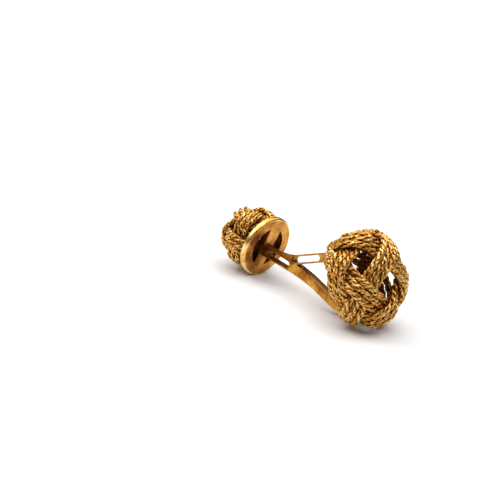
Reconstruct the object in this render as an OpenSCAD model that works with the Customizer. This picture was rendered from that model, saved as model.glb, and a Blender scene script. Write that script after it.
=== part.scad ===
// Cufflink: a large woven rope knot and a small one, joined by a pierced fork bridge and a windowed disc.
// Origin at the middle of the footprint on the table, Z up, the long axis along X, front knot at +X.

/* [Back disc] */
// radius of the disc that closes the small knot
disc_r = 4.6; // [4:0.1:6]
// thickness of the disc
disc_t = 0.95; // [0.7:0.05:1.5]
// rounding of the disc's rim
rim_round = 0.3; // [0.1:0.05:0.4]
// radius of the two half-moon windows
window_r = 2.95; // [2.4:0.05:3.6]
// width of the bar between the windows
bar_w = 2.2; // [1.6:0.1:3]
// turn of the bar away from the fork's plane, degrees
bar_turn = 8; // [0:1:20]

/* [Bridge] */
// thickness of the forked plate
plate_t = 1.5; // [1:0.1:2]
// width of the stem
stem_w = 1.5; // [1.2:0.05:2]
// how far the stem stands below the middle of the disc
foot_drop = 0.42; // [0:0.02:1]
// rise of the stem above the disc's axis, degrees
stem_rise = 3; // [0:1:6]
// solid foot between the disc and the stem's slot
foot_run = 0.8; // [0.6:0.05:2]
// length of the stem's slot
stem_slot = 4.5; // [3:0.1:5]
// width of the stem's slot
stem_slot_w = 1; // [0.4:0.05:1.2]

/* [Upper arm] */
// width of the upper arm
upper_w = 1.36; // [1:0.02:1.8]
// straight run of the stem before the upper arm turns away
upper_start = 1; // [0.5:0.1:3]
// length of the curve in which it turns away
upper_flare = 5.2; // [3:0.1:7]
// turn of the upper arm, degrees
upper_bend = 29.5; // [20:0.5:45]
// length of its straight end, before it is trimmed to the knot
upper_run = 9; // [7:0.1:12]
// distance from the knot's plain outline at which it ends
upper_clear = 0.5; // [0:0.01:1]
// length of its slot
upper_slot = 5.1; // [3:0.1:6]
// width of its slot
upper_slot_w = 0.88; // [0.4:0.02:1]
// how far before the straight end that slot starts
slot_back = 0.75; // [0:0.05:1]

/* [Lower arm] */
// width of the lower arm
lower_w = 1.15; // [0.9:0.05:1.8]
// straight run of the stem before the lower arm turns away
lower_start = 5.2; // [1:0.1:6]
// length of the curve in which it turns away
lower_flare = 6; // [3:0.1:7]
// turn of the lower arm, degrees
lower_bend = 12; // [0:1:30]
// length of its straight part
lower_run = 3.4; // [1:0.1:6]
// length of its toe, before it is trimmed to the knot
toe_run = 2.2; // [1:0.1:4]
// turn of the toe, back up to the knot, degrees
toe_bend = 35; // [10:1:60]
// distance from the knot's plain outline at which it ends, below 0 in a dip of the weave
lower_clear = -0.48; // [-1:0.01:0.5]

/* [Front knot] */
// distance from the disc's face to the middle of the front knot
knot_reach = 18.15; // [16:0.05:21]
// angle of that line above the disc's own axis, the bow of the bridge
bow = 15; // [0:0.5:20]
// tilt of the front knot's own axis above the disc's, degrees
front_tilt = 35; // [0:0.5:45]
// half depth of the woven layer along the axis
front_c = 3.9; // [3:0.02:6]
// radius of the woven layer around the axis
front_r = 6.2; // [5:0.02:8]
// squareness of the knot's outline: 2 is an ellipse
front_square = 2.4; // [2:0.1:4]
// thickness of one rope
front_rope = 1.15; // [0.8:0.01:1.4]

/* [Back knot] */
// distance from the disc's face back to the middle of the small knot
back_reach = 3.1; // [2.4:0.1:4]
// radius of the woven layer
back_r = 3.74; // [3:0.02:5]
// thickness of one rope
back_rope = 0.9; // [0.6:0.02:1.2]
// turn of the small knot about its axis, degrees
back_turn = 20; // [0:5:180]

/* [Resting pose] */
// roll of the fork's plane away from upright, degrees
rest_roll = 8.4; // [0:0.1:60]
// dip of the disc's axis below level, degrees
rest_dip = 8.1; // [-10:0.1:20]
// turn that brings the long axis along X, degrees
rest_turn = -3.8; // [-20:0.1:20]
// shift of the disc along X
rest_x = -8.1; // [-20:0.01:0]
// shift of the disc along Y
rest_y = 0.85; // [-5:0.01:5]
// height of the disc's middle above the table
rest_z = 4.52; // [3:0.01:9]

/* [Hidden] */
// small gap left between pieces
gap = 0.03;
// part of a rope's thickness by which a band rises and sinks at a crossing
WEAVE = 0.46;
// the forms of the two knots
front_form = [front_c, front_r, front_square];
back_form = [back_r, back_r, 2];
// stations round one ring of each knot
FRONT_STEPS = 56;
BACK_STEPS = 36;
// flat steps in each curve of an arm
CURVE_STEPS = 8;
// step of the outline to which the arms are trimmed, degrees
TRIM_STEP = 7.5;

// places of a knot's twelve crossings: angle from the outer pole, turn about the axis, part of the
// woven layer's own radius at which it lies
POLAR = 0;
TURN = 1;
SWELL = 2;
// angle of the outer and inner three crossings from the poles, where all twelve are evenly spaced
CAP = 35.26;
EVEN = [
    for (i = [0:5]) [90, 60 * i, 1],
    for (i = [0:2]) [CAP, 120 * i - 30, 1],
    for (i = [0:2]) [180 - CAP, 120 * i - 30, 1],
];
// the front knot's twelve, pulled out of even spacing
PULLED = [
    [60, 115, 1],
    [40, -5, 1.1],
    [85, -25, 1],
    [115, -60, 1],
    [145, -120, 1],
    [95, 145, 1],
    [90, 80, 1],
    [85, 35, 1],
    [130, 20, 1.1],
    [65, -180, 1],
    [55, -115, 1],
    [95, -140, 1],
];

// the four closed bands: the crossings each one passes, and whether it starts over or under
PASSES = 0;
START = 1;
BANDS = [
    [[0, 1, 2, 3, 4, 5], -1],
    [[0, 6, 8, 3, 11, 9], 1],
    [[2, 7, 6, 5, 9, 10], 1],
    [[4, 8, 7, 1, 10, 11], 1],
];

// outline of a band of three ropes, in rope thicknesses: across the band, and out from it
ACROSS = 0;
OUT = 1;
OUTLINE = [
    [-1.48, 0],
    [-1, 0.5],
    [-0.5, 0.24],
    [0, 0.5],
    [0.5, 0.24],
    [1, 0.5],
    [1.48, 0],
    [1, -0.5],
    [0.5, -0.24],
    [0, -0.5],
    [-0.5, -0.24],
    [-1, -0.5],
];

$fn = 64;

function unit(v) = v / norm(v);

function aim(c) = [cos(c[POLAR]), -sin(c[POLAR]) * sin(c[TURN]), sin(c[POLAR]) * cos(c[TURN])];

// share of one crossing in the direction of the band at angle a from it
function pull(a) = (1 + 2 * cos(a) + 2 * cos(2 * a) + cos(3 * a)) / 6;

// the pulls of a ring's six crossings at angle a round it
function pulls(a) = [for (j = [0:5]) pull(a - 60 * j)];

// direction of a band at angle a round its ring
function heading(band, table, a) = unit(pulls(a) * [for (k = band[PASSES]) aim(table[k])]);

// the form of a knot's woven layer: half depth, radius, and squareness of its outline
DEPTH = 0;
RADIUS = 1;
SQUARE = 2;

// how far out the layer lies in direction d
function reach(form, d) =
    let (p = form[SQUARE])
    pow(pow(abs(d.x) / form[DEPTH], p) + pow(norm([d.y, d.z]) / form[RADIUS], p), -1 / p);

// direction out of the layer at point m
function outward(form, m) =
    [m.x / pow(form[DEPTH], 2), m.y / pow(form[RADIUS], 2), m.z / pow(form[RADIUS], 2)];

// middle of a band at angle a, woven up and down by lift
function middle(band, table, form, lift, a) =
    let (d = heading(band, table, a))
    let (swell = pulls(a) * [for (k = band[PASSES]) table[k][SWELL]])
    d * (swell * reach(form, d) + lift * band[START] * sin(90 * cos(3 * a)));

// one outline of a band, set across it at angle a
function station(band, table, form, rope, a) =
    let (lift = WEAVE * rope)
    let (m = middle(band, table, form, lift, a))
    let (ahead = unit(middle(band, table, form, lift, a + 1) - middle(band, table, form, lift, a - 1)))
    let (side = unit(cross(ahead, outward(form, m))))
    let (up = cross(side, ahead))
    [for (p = OUTLINE)
        let (s = p[ACROSS] * rope)
        m + side * s + up * (p[OUT] * rope - s * s / (2 * form[RADIUS]))];

module band(b, table, form, rope, steps) {
    n = len(OUTLINE);
    points = [for (i = [0:steps - 1]) each station(b, table, form, rope, 360 * i / steps)];
    faces = [for (i = [0:steps - 1], j = [0:n - 1])
        let (i2 = (i + 1) % steps, j2 = (j + 1) % n)
        each [[i * n + j, i2 * n + j2, i * n + j2], [i * n + j, i2 * n + j, i2 * n + j2]]];
    polyhedron(points = points, faces = faces);
}

module woven_ball(table, form, rope, steps) {
    for (b = BANDS)
        band(b, table, form, rope, steps);
}

// the object as it rests, from the frame of the disc: X out of its face, Z to the upper arm
module rested() {
    translate([rest_x, rest_y, rest_z])
        rotate([-rest_roll, rest_dip, rest_turn])
            children();
}

// the frame of the front knot
module at_front() {
    rotate([0, -bow, 0])
        translate([knot_reach, 0, 0])
            rotate([0, bow - front_tilt, 0])
                children();
}

module front_knot() {
    color("goldenrod")
        rested()
            at_front()
                woven_ball(PULLED, front_form, front_rope, FRONT_STEPS);
}

// a place on a limb's middle line: along, up, heading in degrees, and width of the limb there
HEADING = 2;
WIDTH = 3;

// the place to which a curve leads that turns by bend over run and changes the width by wider
function after(from, bend, run, wider) =
    let (chord = bend == 0 ? run : run * sin(bend / 2) * 360 / (PI * bend))
    let (a = from[HEADING] + bend / 2)
    from + [chord * cos(a), chord * sin(a), bend, wider];

function curve(from, bend, run, wider) =
    [for (i = [1:CURVE_STEPS])
        let (part = i / CURVE_STEPS)
        after(from, part * bend, part * run, part * wider)];

// the point beside a place, a part of the width above the middle line
function beside(place, part) =
    [place.x, place.y] + part * place[WIDTH] * [-sin(place[HEADING]), cos(place[HEADING])];

foot = [-gap, -foot_drop, stem_rise, stem_w];
upper_fork = after(foot, 0, upper_start, 0);
upper_tip = after(upper_fork, upper_bend, upper_flare, upper_w - stem_w);
lower_fork = after(foot, 0, lower_start, 0);
lower_tip = after(lower_fork, -lower_bend, lower_flare, lower_w - stem_w);
lower_end = after(lower_tip, 0, lower_run, 0);

module limb(places) {
    n = len(places) - 1;
    linear_extrude(plate_t, center = true)
        polygon([
            for (i = [0:n]) beside(places[i], -0.5),
            for (i = [n:-1:0]) beside(places[i], 0.5),
        ]);
}

// a slot with round ends through the plate, that starts at a place on the middle line
module slot(place, length, width) {
    translate([place.x, place.y, 0])
        rotate([0, 0, place[HEADING]]) {
            for (x = [width / 2, length - width / 2])
                translate([x, 0, 0])
                    cylinder(h = 2 * plate_t, r = width / 2, center = true);
            translate([width / 2, -width / 2, -plate_t])
                cube([length - width, width, 2 * plate_t]);
        }
}

// the form that a band's outer face keeps within, at clear from it
module knot_outline(clear) {
    thick = (WEAVE + 0.5) * front_rope + clear;
    rotate([0, 90, 0])
        rotate_extrude()
            polygon([for (a = [-90:TRIM_STEP:90])
                let (d = [sin(a), cos(a), 0])
                let (q = d * (reach(front_form, d) + thick))
                [q.y, q.x]]);
}

module arm(places, clear) {
    difference() {
        rotate([90, 0, 0])
            limb(places);
        at_front()
            knot_outline(clear);
    }
}

module bridge() {
    color("peru")
        rested()
            difference() {
                union() {
                    arm(concat(
                        [foot, upper_fork],
                        curve(upper_fork, upper_bend, upper_flare, upper_w - stem_w),
                        [after(upper_tip, 0, upper_run, 0)]
                    ), upper_clear);
                    arm(concat(
                        [foot, lower_fork],
                        curve(lower_fork, -lower_bend, lower_flare, lower_w - stem_w),
                        [lower_end],
                        curve(lower_end, toe_bend, toe_run, 0)
                    ), lower_clear);
                }
                rotate([90, 0, 0]) {
                    slot(after(foot, 0, foot_run, 0), stem_slot, stem_slot_w);
                    slot(after(upper_tip, 0, -slot_back, 0), upper_slot, upper_slot_w);
                    translate([gap - plate_t, -foot_drop - stem_w, -plate_t])
                        cube([plate_t, 2 * stem_w, 2 * plate_t]);
                }
            }
}

module back_disc() {
    color("gold")
        rested()
            rotate([-bar_turn, 0, 0])
                rotate([0, -90, 0])
                    difference() {
                        union() {
                            cylinder(h = disc_t, r = disc_r - rim_round);
                            translate([0, 0, rim_round])
                                cylinder(h = disc_t - 2 * rim_round, r = disc_r);
                            for (z = [rim_round, disc_t - rim_round])
                                translate([0, 0, z])
                                    rotate_extrude()
                                        translate([disc_r - rim_round, 0])
                                            circle(r = rim_round);
                        }
                        for (side = [0, 180])
                            rotate([0, 0, side])
                                intersection() {
                                    translate([0, 0, -disc_t])
                                        cylinder(h = 3 * disc_t, r = window_r);
                                    translate([-window_r, bar_w / 2, -disc_t])
                                        cube([2 * window_r, window_r, 3 * disc_t]);
                                }
                    }
}

module back_knot() {
    size = 3 * back_r;
    color("darkgoldenrod")
        rested()
            intersection() {
                translate([-back_reach, 0, 0])
                    rotate([back_turn, 0, 180])
                        woven_ball(EVEN, back_form, back_rope, BACK_STEPS);
                translate([-disc_t - gap - size, -size / 2, -size / 2])
                    cube([size, size, size]);
            }
}

front_knot();
bridge();
back_disc();
back_knot();
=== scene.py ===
import math

import bpy
import numpy as np
from mathutils import Matrix, Vector


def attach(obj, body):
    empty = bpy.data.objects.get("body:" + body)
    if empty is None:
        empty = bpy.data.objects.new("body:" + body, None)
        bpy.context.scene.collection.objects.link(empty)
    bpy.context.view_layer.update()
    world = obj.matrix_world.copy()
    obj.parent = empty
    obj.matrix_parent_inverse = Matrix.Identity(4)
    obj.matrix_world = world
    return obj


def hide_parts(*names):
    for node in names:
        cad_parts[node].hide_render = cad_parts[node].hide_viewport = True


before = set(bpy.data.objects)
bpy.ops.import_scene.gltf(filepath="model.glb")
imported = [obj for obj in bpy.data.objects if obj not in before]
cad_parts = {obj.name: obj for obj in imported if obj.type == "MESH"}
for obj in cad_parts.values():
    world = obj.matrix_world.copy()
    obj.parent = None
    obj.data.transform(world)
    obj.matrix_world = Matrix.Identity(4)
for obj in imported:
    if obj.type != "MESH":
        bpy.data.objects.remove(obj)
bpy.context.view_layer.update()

# The back disc: a round plate of yellow gold, turned and polished, with two half-moon windows sawn
# out beside a bar. The stem is soldered on the middle of the bar. Its rim is rounded and rubbed
# bright, with a painted highlight on it, and its face has gone brown in clouds. The walls of the
# windows and the face round the stem's foot are darker with painted shade.
DISC_R, DISC_T = 4.6, 0.95
WINDOW_R, BAR_W, BAR_TURN = 2.95, 2.2, 8
RIM_ROUND, RIM_STEPS, RIM_ANGLE = 0.3, 6, 60
WINDOW_EASE, EASE_STEPS, WINDOW_ANGLE = 0.07, 3, 50
DISC_SIDES, WINDOW_SIDES = 128, 96
SMOOTH_ANGLE = 30
# Levels of wear and painted light on the plates: painted shade on the windows' walls, plain faces, and
# edges rubbed bright with a painted highlight.
WALL_SHADE, PLAIN, BRIGHT = 0, 0.5, 1

# Every piece is made in millimetres along the disc's own axis, X out of its face towards the large
# knot and Z towards the bridge's upper arm, and is then laid down in this resting place.
MM = 0.001
REST_ROLL, REST_DIP, REST_TURN = 8.4, 8.1, -3.8
REST_AT = (-8.1, 0.85, 4.52)

# Old yellow gold, from tarnish to bare metal: how far it is rubbed, and its colour there. The same
# scale also paints shade, towards its dark end, and highlights, towards its bright end.
GOLD_TONES = (
    (0.0, (0.06, 0.02, 0.004, 1)),
    (0.35, (0.34, 0.112, 0.014, 1)),
    (0.7, (0.7, 0.35, 0.055, 1)),
    (1.0, (0.95, 0.7, 0.31, 1)),
)
CLOUD_DETAIL, SPECK_DETAIL = 4.0, 3.0
SPECK_FINER = 7.0
NOISE_MIDDLE = 0.5
TARNISH_ROUGH = 0.6
GRAIN_DEPTH = 0.05


def turned(degrees, axis):
    return Matrix.Rotation(math.radians(degrees), 4, axis)


rested = (
    Matrix.Translation(Vector(REST_AT) * MM)
    @ turned(REST_TURN, "Z")
    @ turned(REST_DIP, "Y")
    @ turned(-REST_ROLL, "X")
    @ Matrix.Scale(MM, 4)
)


def lay_down(piece, place=rested):
    """Moves a piece made in millimetres into its place, and leaves its object at the origin."""
    piece.data.transform(place @ piece.matrix_world)
    piece.matrix_world = Matrix.Identity(4)


def select_only(piece=None):
    """Selects one piece and nothing else, or nothing at all."""
    bpy.ops.object.select_all(action="DESELECT")
    if piece:
        piece.select_set(True)
        bpy.context.view_layer.objects.active = piece


def edit_whole():
    """Opens the active piece in edit mode with all of it selected."""
    bpy.ops.object.mode_set(mode="EDIT")
    bpy.ops.mesh.select_all(action="SELECT")


def wired(tree, kind, sockets, **settings):
    """A shader node, with its sockets, by name or number, set to values or joined to other sockets."""
    made = tree.nodes.new("ShaderNode" + kind)
    for key, value in settings.items():
        setattr(made, key, value)
    for socket, value in sockets.items():
        if isinstance(value, bpy.types.NodeSocket):
            tree.links.new(value, made.inputs[socket])
        else:
            made.inputs[socket].default_value = value
    return made


def math_of(tree, operation, *terms, clamp=False):
    """The result of one sum on sockets or numbers."""
    return wired(tree, "Math", dict(enumerate(terms)), operation=operation, use_clamp=clamp).outputs[0]


def ranged(tree, value, start, end, low, high):
    """A socket that goes from low to high as the value goes from start to end."""
    sockets = {"Value": value, "From Min": start, "From Max": end, "To Min": low, "To Max": high}
    return wired(tree, "MapRange", sockets).outputs[0]


def build_aged_gold():
    """Old yellow gold, from brown tarnish through amber to clean metal as its surface wears, darker
    where shade is painted in and brighter where a highlight is painted in.
    """
    group = bpy.data.node_groups.new("aged_gold", "ShaderNodeTree")
    for name in ("WearAndLight", "Clouds", "Specks", "Size", "Polish"):
        group.interface.new_socket(name, in_out="INPUT", socket_type="NodeSocketFloat")
    group.interface.new_socket("Color", in_out="OUTPUT", socket_type="NodeSocketColor")
    group.interface.new_socket("Roughness", in_out="OUTPUT", socket_type="NodeSocketFloat")
    group.interface.new_socket("Grain", in_out="OUTPUT", socket_type="NodeSocketFloat")
    given = group.nodes.new("NodeGroupInput").outputs
    where = wired(group, "TexCoord", {}).outputs["Object"]
    clouds = wired(group, "TexNoise", {"Vector": where, "Scale": given["Size"], "Detail": CLOUD_DETAIL})
    finer = math_of(group, "MULTIPLY", given["Size"], SPECK_FINER)
    specks = wired(group, "TexNoise", {"Vector": where, "Scale": finer, "Detail": SPECK_DETAIL})
    cloud = math_of(group, "SUBTRACT", clouds.outputs["Fac"], NOISE_MIDDLE)
    speck = math_of(group, "SUBTRACT", specks.outputs["Fac"], NOISE_MIDDLE)
    clouded = math_of(group, "MULTIPLY_ADD", cloud, given["Clouds"], given["WearAndLight"])
    cleaned_and_lit = math_of(group, "MULTIPLY_ADD", speck, given["Specks"], clouded, clamp=True)
    tones = wired(group, "ValToRGB", {"Fac": cleaned_and_lit})
    ramp = tones.color_ramp.elements
    for stop, (at, colour) in zip((ramp[0], ramp[1]), (GOLD_TONES[0], GOLD_TONES[-1])):
        stop.position = at
        stop.color = colour
    for at, colour in GOLD_TONES[1:-1]:
        ramp.new(at).color = colour
    dull = ranged(group, cleaned_and_lit, 0, 1, TARNISH_ROUGH, 0)
    rough = math_of(group, "MAXIMUM", dull, given["Polish"])
    out = group.nodes.new("NodeGroupOutput").inputs
    group.links.new(tones.outputs["Color"], out["Color"])
    group.links.new(rough, out["Roughness"])
    group.links.new(specks.outputs["Fac"], out["Grain"])
    return group


aged_gold = build_aged_gold()


def gold_finish(name, attribute, over, wear_light_range, relief, foot_shade=None, **given):
    """A gold material, with its wear, painted shade and painted highlights as the mesh's attribute
    says.

    As the attribute goes over its two values, the level of wear and painted light goes between its own
    two. The painted shade round the stem's foot is given as (start, end, left): only the share left of
    that level remains nearer to the stem's foot than start, and all of it past the distance end."""
    finish = bpy.data.materials.new(name)
    finish.use_nodes = True
    tree = finish.node_tree
    tree.nodes.clear()
    wear_and_light = wired(tree, "Attribute", {}, attribute_name=attribute)
    wear_light_level = ranged(tree, wear_and_light.outputs["Fac"], *over, *wear_light_range)
    # Painted shade: darker nearer the stem's foot.
    if foot_shade:
        start, end, left = foot_shade
        place = wired(tree, "TexCoord", {}).outputs["Object"]
        apart = wired(tree, "VectorMath", {0: place, 1: Vector(REST_AT) * MM}, operation="DISTANCE")
        kept = ranged(tree, apart.outputs["Value"], start * MM, end * MM, left, 1)
        wear_light_level = math_of(tree, "MULTIPLY", wear_light_level, kept)
    gold = tree.nodes.new("ShaderNodeGroup")
    gold.node_tree = aged_gold
    tree.links.new(wear_light_level, gold.inputs["WearAndLight"])
    for key, value in given.items():
        gold.inputs[key].default_value = value
    grain = {"Height": gold.outputs["Grain"], "Strength": relief, "Distance": GRAIN_DEPTH * MM}
    skin = {
        "Metallic": 1.0,
        "Base Color": gold.outputs["Color"],
        "Roughness": gold.outputs["Roughness"],
        "Normal": wired(tree, "Bump", grain).outputs[0],
    }
    out = wired(tree, "OutputMaterial", {})
    tree.links.new(wired(tree, "BsdfPrincipled", skin).outputs[0], out.inputs[0])
    return finish


def ease_edges(piece, width, segments, angle):
    """Rounds a piece's sharp edges, and writes its attribute of wear and painted light: BRIGHT on the
    rounded faces, polished bright by wear and carrying a painted highlight, else PLAIN. The piece's
    second material slot, of the same finish, only marks the rounded faces."""
    ease = piece.modifiers.new("ease", "BEVEL")
    ease.width = width
    ease.segments = segments
    ease.limit_method = "ANGLE"
    ease.angle_limit = math.radians(angle)
    ease.material = 1
    bpy.ops.object.modifier_apply(modifier=ease.name)
    mesh = piece.data
    rounded = np.zeros(len(mesh.polygons), np.int32)
    mesh.polygons.foreach_get("material_index", rounded)
    wear_and_light = np.where(rounded == 1, BRIGHT, PLAIN).astype(np.float32)
    mesh.attributes.new("wear_and_light", "FLOAT", "FACE").data.foreach_set("value", wear_and_light)
    mesh.polygons.foreach_set("material_index", np.zeros_like(rounded))


select_only()
bpy.ops.mesh.primitive_cylinder_add(
    vertices=DISC_SIDES,
    radius=DISC_R,
    depth=DISC_T,
    location=(-DISC_T / 2, 0, 0),
    rotation=(0, math.pi / 2, 0),
)
back_disc = bpy.context.object
back_disc.name = "back_disc_plate"
rim = back_disc.modifiers.new("rim", "BEVEL")
rim.width = RIM_ROUND
rim.segments = RIM_STEPS
rim.limit_method = "ANGLE"
rim.angle_limit = math.radians(RIM_ANGLE)
bpy.ops.object.modifier_apply(modifier=rim.name)
for side in (-1, 1):
    select_only()
    bpy.ops.mesh.primitive_cylinder_add(
        vertices=WINDOW_SIDES, radius=WINDOW_R, depth=4 * DISC_T, rotation=(0, math.pi / 2, 0)
    )
    half_moon = bpy.context.object
    edit_whole()
    away = Vector((0, side, 0))
    away.rotate(turned(-BAR_TURN, "X"))
    bpy.ops.mesh.bisect(plane_co=away * BAR_W / 2, plane_no=away, use_fill=True, clear_inner=True)
    bpy.ops.object.mode_set(mode="OBJECT")
    select_only(back_disc)
    saw = back_disc.modifiers.new("window", "BOOLEAN")
    saw.object = half_moon
    saw.operation = "DIFFERENCE"
    saw.solver = "EXACT"
    bpy.ops.object.modifier_apply(modifier=saw.name)
    bpy.data.objects.remove(half_moon)
back_disc.data.materials.clear()
# Painted shade: the disc's face is darker round the stem's foot.
disc_gold = gold_finish(
    "polished_disc_gold",
    "wear_and_light",
    over=(WALL_SHADE, BRIGHT),
    wear_light_range=(0.1, 0.9),
    relief=0.12,
    foot_shade=(0.8, 4.4, 0.5),
    Clouds=1.5,
    Specks=0.5,
    Size=450,
    Polish=0.33,
)
back_disc.data.materials.append(disc_gold)
back_disc.data.materials.append(disc_gold)
ease_edges(back_disc, WINDOW_EASE, EASE_STEPS, WINDOW_ANGLE)
disc_light_and_wear = back_disc.data.attributes["wear_and_light"].data
# The rim is rubbed bright and painted with a highlight, and the standing walls of the windows are
# painted with shade.
for face in back_disc.data.polygons:
    out_at = math.hypot(face.center.x, face.center.y)
    stands = abs(face.normal.z) < 0.5
    if out_at > DISC_R - RIM_ROUND:
        disc_light_and_wear[face.index].value = BRIGHT
    elif out_at < WINDOW_R and stands:
        disc_light_and_wear[face.index].value = WALL_SHADE
bpy.ops.object.shade_smooth_by_angle(angle=math.radians(SMOOTH_ANGLE))
lay_down(back_disc)
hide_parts("back_disc")
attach(back_disc, "root")

# The bridge: a flat plate of yellow gold cut as a fork and pierced with a long slot in its stem and
# one in its upper arm. Its edges are eased by filing, rubbed bright and painted with a highlight, and
# its faces are brown, with painted shade on the stem, darkest near its foot on the disc.
PLATE_EASE, PLATE_ANGLE = 0.12, 40
MERGE, FLAT_ANGLE = 0.002, 1
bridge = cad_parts["bridge"].copy()
bridge.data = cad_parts["bridge"].data.copy()
bpy.context.collection.objects.link(bridge)
bridge.name = "bridge_fork"
bridge.parent = None
select_only(bridge)
edit_whole()
bpy.ops.mesh.remove_doubles(threshold=MERGE * MM)
bpy.ops.mesh.dissolve_limited(angle_limit=math.radians(FLAT_ANGLE))
bpy.ops.object.mode_set(mode="OBJECT")
bridge.data.materials.clear()
# Painted shade: the bridge is darker nearer the stem's foot on the disc.
bridge_gold = gold_finish(
    "filed_bridge_gold",
    "wear_and_light",
    over=(WALL_SHADE, BRIGHT),
    wear_light_range=(0.0, 1.0),
    relief=0.15,
    foot_shade=(3, 8, 0.68),
    Clouds=1.2,
    Specks=0.6,
    Size=400,
    Polish=0.3,
)
bridge.data.materials.append(bridge_gold)
bridge.data.materials.append(bridge_gold)
ease_edges(bridge, PLATE_EASE * MM, EASE_STEPS, PLATE_ANGLE)
bpy.ops.object.shade_smooth_by_angle(angle=math.radians(SMOOTH_ANGLE))
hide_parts("bridge")
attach(bridge, "root")

# The small knot: a hollow ball of four closed bands, each of three twisted ropes of gold wire, woven
# over and under at twelve crossings and soldered there. The disc closes it, and the ropes end on it.
BACK_REACH, BACK_R, BACK_TURN = 3.1, 3.74, 20
BACK_FORM = (BACK_R, BACK_R, 2)
BACK_ROPE, BACK_STATIONS, BACK_SIDES = 0.9, 300, 12
DISC_GAP = 0.03

# The ropes of a band lie side by side, and each is of plies of wires. Their sizes, the length of a
# turn and the band's swing in and out at a crossing are in shares of the rope's thickness.
LANES, PITCH = (-1, 0, 1), 0.93
PLIES, PLY_OUT, PLY_R, PLY_TURN = 3, 0.23, 0.21, 2.7
WIRES, RIDGE, WIRE_TURN = 3, 0.045, 1.3
WEAVE = 0.46

# A rope's lay is out of step with its neighbours' and drifts a little along the band, as rope twisted
# by hand does. The gold is darker inside the ball and where a band passes under another: painted shade.
LANE_PHASE, LAY_DRIFT, DRIFT_WAVES = 1.9, 0.45, (5, 11)
INNER, UNDER = 0.42, 0.12
FINE_STEPS = 1440

# Each crossing: degrees from the ball's axis, degrees round it, and its share of the ball's radius.
CAP = 35.26
EVEN_CROSSINGS = (
    [(90, 60 * i, 1) for i in range(6)]
    + [(CAP, 120 * i - 30, 1) for i in range(3)]
    + [(180 - CAP, 120 * i - 30, 1) for i in range(3)]
)

# Each band: the crossings that it passes, and 1 where it is over at the first of them or -1 under.
BANDS = [
    ((0, 1, 2, 3, 4, 5), -1),
    ((0, 6, 8, 3, 11, 9), 1),
    ((2, 7, 6, 5, 9, 10), 1),
    ((4, 8, 7, 1, 10, 11), 1),
]


def unit(rows):
    return rows / np.linalg.norm(rows, axis=1)[:, None]


def along(rows):
    """The direction along a closed line at each of its points."""
    return unit(np.roll(rows, -1, 0) - np.roll(rows, 1, 0))


def band_line(band, crossings, form, rope, stations):
    """Evenly spaced points on a closed band's middle line, the directions across it and out of it, and
    how high it lies over the weave there, from -1 to 1."""
    depth, radius, square = form
    passes, start = band
    polar, turn, swell = np.array([crossings[number] for number in passes], float).T
    polar, turn = np.radians(polar), np.radians(turn)
    aims = np.stack([np.cos(polar), -np.sin(polar) * np.sin(turn), np.sin(polar) * np.cos(turn)], 1)

    def height(angle):
        return start * np.sin(np.pi / 2 * np.cos(3 * angle))

    def middle(angle):
        """A smooth closed curve through the six crossings, which lie a sixth of a turn apart."""
        gap = angle[:, None] - 2 * np.pi * np.arange(6) / 6
        pull = (1 + 2 * np.cos(gap) + 2 * np.cos(2 * gap) + np.cos(3 * gap)) / 6
        heading = unit(pull @ aims)
        deep = (np.abs(heading[:, 0]) / depth) ** square
        wide = (np.linalg.norm(heading[:, 1:], axis=1) / radius) ** square
        reach = (deep + wide) ** (-1 / square) * (pull @ swell)
        return heading * (reach + WEAVE * rope * height(angle))[:, None]

    angle = np.linspace(0, 2 * np.pi, FINE_STEPS + 1)
    line = middle(angle)
    run = np.concatenate([[0], np.cumsum(np.linalg.norm(np.diff(line, axis=0), axis=1))])
    even = np.interp(np.arange(stations) * run[-1] / stations, run, angle)
    line = middle(even)
    ahead = along(line)
    across = unit(np.cross(ahead, line / (depth**2, radius**2, radius**2)))
    return line, across, np.cross(across, ahead), height(even)


def rope_plies(line, out, thickness, phase):
    """The plies of a rope laid round a closed line: each one's middle line, and how far its wires have
    turned."""
    stations = len(line)
    length = np.linalg.norm(np.roll(line, -1, 0) - line, axis=1).sum()
    share = 2 * np.pi * np.arange(stations) / stations
    across = np.cross(along(line), out)
    turns = round(length / (PLY_TURN * thickness))
    twists = round(length / (WIRE_TURN * thickness))
    drift = LAY_DRIFT * sum(np.sin(waves * (share + phase)) for waves in DRIFT_WAVES)
    for ply in range(PLIES):
        lay = drift - turns * share + 2 * np.pi * ply / PLIES + phase
        beside = np.cos(lay)[:, None] * out + np.sin(lay)[:, None] * across
        yield line + PLY_OUT * thickness * beside, lay + twists * share


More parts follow.
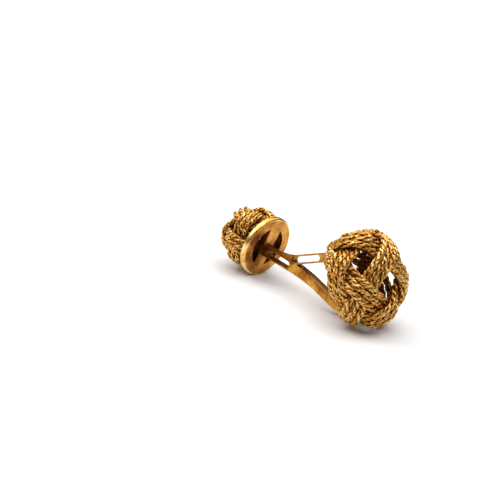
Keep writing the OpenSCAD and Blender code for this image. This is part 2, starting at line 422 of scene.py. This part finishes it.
def rope_band(name, band, crossings, form, rope, stations, sides):
    """A woven band of ropes side by side, every ply a closed tube with a round ridge for each wire. Its
    attribute of wear and shade is the distance from its rope's middle: the crests wear bright, and the
    valleys between the plies hold tarnish and painted shade. It is less, as painted shade, on the
    plies' sides that face into the ball and where the band passes under another."""
    line, across, out, high = band_line(band, crossings, form, rope, stations)
    _, radius, _ = form
    # Painted shade where the band passes under another.
    sunk = 1 + UNDER * np.minimum(high, 0)[:, None]
    corner = 2 * np.pi * np.arange(sides) / sides
    ridged = rope * (PLY_R + RIDGE * np.cos(WIRES * corner))
    here = np.arange(stations)[:, None] * sides
    ahead_of = (here + sides) % (stations * sides)
    side = np.arange(sides)
    beside_it = (side + 1) % sides
    wall = np.stack([here + beside_it, ahead_of + beside_it, ahead_of + side, here + side], -1)
    wall = wall.reshape(-1, 4)
    points, crests_and_shade, faces = [], [], []
    for lane in LANES:
        shift = lane * rope * PITCH
        middle = line + across * shift - out * shift**2 / (2 * radius)
        for ply, twist in rope_plies(middle, out, rope, LANE_PHASE * lane):
            ahead = along(ply)
            up = unit(out - ahead * (out * ahead).sum(1)[:, None])
            beside = np.cross(ahead, up)
            angle = (corner + twist[:, None])[..., None]
            spoke = np.cos(angle) * up[:, None] + np.sin(angle) * beside[:, None]
            tube = ply[:, None] + ridged[:, None] * spoke
            faces.append(wall + len(points) * stations * sides)
            points.append(tube.reshape(-1, 3))
            # Tarnish and painted shade in the valleys between plies, and painted shade on the sides
            # that face into the ball.
            away = (tube - middle[:, None]) / (rope / 2)
            inner = 1 + INNER * np.minimum((away * out[:, None]).sum(2), 0)
            crests_and_shade.append((np.linalg.norm(away, axis=2) * inner * sunk).reshape(-1))
    mesh = bpy.data.meshes.new(name)
    mesh.from_pydata(np.concatenate(points), [], np.concatenate(faces))
    mesh.attributes.new("crests_and_shade", "FLOAT", "POINT").data.foreach_set("value", np.concatenate(crests_and_shade))
    mesh.shade_smooth()
    woven = bpy.data.objects.new(name, mesh)
    bpy.context.collection.objects.link(woven)
    return woven


twisted_gold = gold_finish(
    "twisted_wire_gold",
    "crests_and_shade",
    over=(0.5, 0.94),
    wear_light_range=(0.2, 0.84),
    relief=0.6,
    Clouds=0.8,
    Specks=2.0,
    Size=600,
    Polish=0.44,
)
at_back = rested @ Matrix.Translation((-BACK_REACH, 0, 0)) @ turned(180, "Z") @ turned(BACK_TURN, "X")
ropes_end = (DISC_T + DISC_GAP - BACK_REACH, 0, 0)
for number, band in enumerate(BANDS, 1):
    name = f"back_band_{number}"
    woven = rope_band(name, band, EVEN_CROSSINGS, BACK_FORM, BACK_ROPE, BACK_STATIONS, BACK_SIDES)
    select_only(woven)
    edit_whole()
    bpy.ops.mesh.bisect(plane_co=ropes_end, plane_no=(1, 0, 0), clear_inner=True)
    bpy.ops.mesh.select_all(action="SELECT")
    bpy.ops.mesh.fill_holes(sides=0)
    bpy.ops.object.mode_set(mode="OBJECT")
    lay_down(woven, at_back)
    woven.data.materials.append(twisted_gold)
    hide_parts("back_knot")
    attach(woven, "root")

# The large knot: the same woven ball of four bands of gold ropes, larger, flatter from front to back
# and pulled out of even spacing. The arms of the bridge are soldered to its back. It is drawn in a
# little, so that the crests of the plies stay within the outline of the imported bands.
KNOT_REACH, BOW, FRONT_TILT = 18.15, 15, 35
FRONT_FORM = (3.9, 6.2, 2.4)
FRONT_ROPE, FRONT_STATIONS, FRONT_SIDES = 1.15, 420, 15
IN_OUTLINE = 0.982
PULLED_CROSSINGS = [
    (60, 115, 1),
    (40, -5, 1.1),
    (85, -25, 1),
    (115, -60, 1),
    (145, -120, 1),
    (95, 145, 1),
    (90, 80, 1),
    (85, 35, 1),
    (130, 20, 1.1),
    (65, -180, 1),
    (55, -115, 1),
    (95, -140, 1),
]
at_front = (
    rested
    @ turned(-BOW, "Y")
    @ Matrix.Translation((KNOT_REACH, 0, 0))
    @ turned(BOW - FRONT_TILT, "Y")
    @ Matrix.Scale(IN_OUTLINE, 4)
)
for number, band in enumerate(BANDS, 1):
    name = f"front_band_{number}"
    woven = rope_band(name, band, PULLED_CROSSINGS, FRONT_FORM, FRONT_ROPE, FRONT_STATIONS, FRONT_SIDES)
    lay_down(woven, at_front)
    woven.data.materials.append(twisted_gold)
    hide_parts("front_knot")
    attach(woven, "root")

# The table: a plain white sheet, matt and flat, that reaches past the view on every side. The large
# knot and the rim of the disc lie on it.
SHEET_SIDE = 1.2
SHEET_WHITE, SHEET_ROUGH = (0.9, 0.9, 0.9, 1), 0.7
select_only()
bpy.ops.mesh.primitive_plane_add(size=SHEET_SIDE, location=(0, 0, 0))
floor = bpy.context.object
floor.name = "floor"
sheet = bpy.data.materials.new("white_table")
sheet.use_nodes = True
paper = sheet.node_tree.nodes["Principled BSDF"].inputs
paper["Base Color"].default_value = SHEET_WHITE
paper["Roughness"].default_value = SHEET_ROUGH
floor.data.materials.append(sheet)

# The light: a large soft box overhead and a smaller, weaker one on the left, in metres and watts. The
# room around them is pale, and brighter towards its ceiling.
LAMPS = (
    {"name": "overhead", "at": (-0.05, 0.1, 0.6), "side": 1.1, "power": 9.0},
    {"name": "left", "at": (-0.45, -0.25, 0.4), "side": 0.35, "power": 1.6},
)
ROOM_LOW, ROOM_HIGH, HIGH_FROM = 0.9, 1.2, 0.9
for lamp in LAMPS:
    box = bpy.data.lights.new(lamp["name"], "AREA")
    box.shape = "SQUARE"
    box.size = lamp["side"]
    box.energy = lamp["power"]
    hung = bpy.data.objects.new(lamp["name"], box)
    bpy.context.collection.objects.link(hung)
    hung.location = lamp["at"]
    hung.rotation_euler = (-Vector(lamp["at"])).to_track_quat("-Z", "Y").to_euler()
world = bpy.data.worlds.new("room")
world.use_nodes = True
room = world.node_tree
look = wired(room, "SeparateXYZ", {"Vector": wired(room, "TexCoord", {}).outputs["Generated"]})
level = ranged(room, look.outputs["Z"], 0, HIGH_FROM, ROOM_LOW, ROOM_HIGH)
room.links.new(level, room.nodes["Background"].inputs["Strength"])
bpy.context.scene.world = world
bpy.context.scene.view_settings.view_transform = "Standard"

# The camera: a long lens at the large knot's end of the cufflink, 20 degrees above the table, turned
# and rolled so that the pieces lie as in the photo. The foot of the stem falls on its own pixel.
CAMERA_TURN, CAMERA_RISE, CAMERA_ROLL, CAMERA_FAR = 36.3, 19.8, 10.6, 368.0
FOCAL_PX, FRAME_PX, CHIP_MM = 2560.0, 500.0, 36.0
STEM_FOOT_PX = (267.3, 247.2)
NEAR_CLIP = 0.01
turn, rise = math.radians(CAMERA_TURN), math.radians(CAMERA_RISE)
to_camera = Vector((math.sin(turn) * math.cos(rise), -math.cos(turn) * math.cos(rise), math.sin(rise)))
right = Vector((math.cos(turn), math.sin(turn), 0))
right.rotate(Matrix.Rotation(math.radians(CAMERA_ROLL), 3, to_camera))
upward = to_camera.cross(right)
aside, below = [(px - FRAME_PX / 2) * CAMERA_FAR / FOCAL_PX for px in STEM_FOOT_PX]
aim = Vector(REST_AT) - right * aside + upward * below
eye = bpy.data.cameras.new("camera")
eye.sensor_width = CHIP_MM
eye.lens = CHIP_MM * FOCAL_PX / FRAME_PX
eye.clip_start = NEAR_CLIP
camera = bpy.data.objects.new("camera", eye)
bpy.context.collection.objects.link(camera)
facing = Matrix((right, upward, to_camera)).transposed().to_4x4()
camera.matrix_world = Matrix.Translation((aim + to_camera * CAMERA_FAR) * MM) @ facing
bpy.context.scene.camera = camera
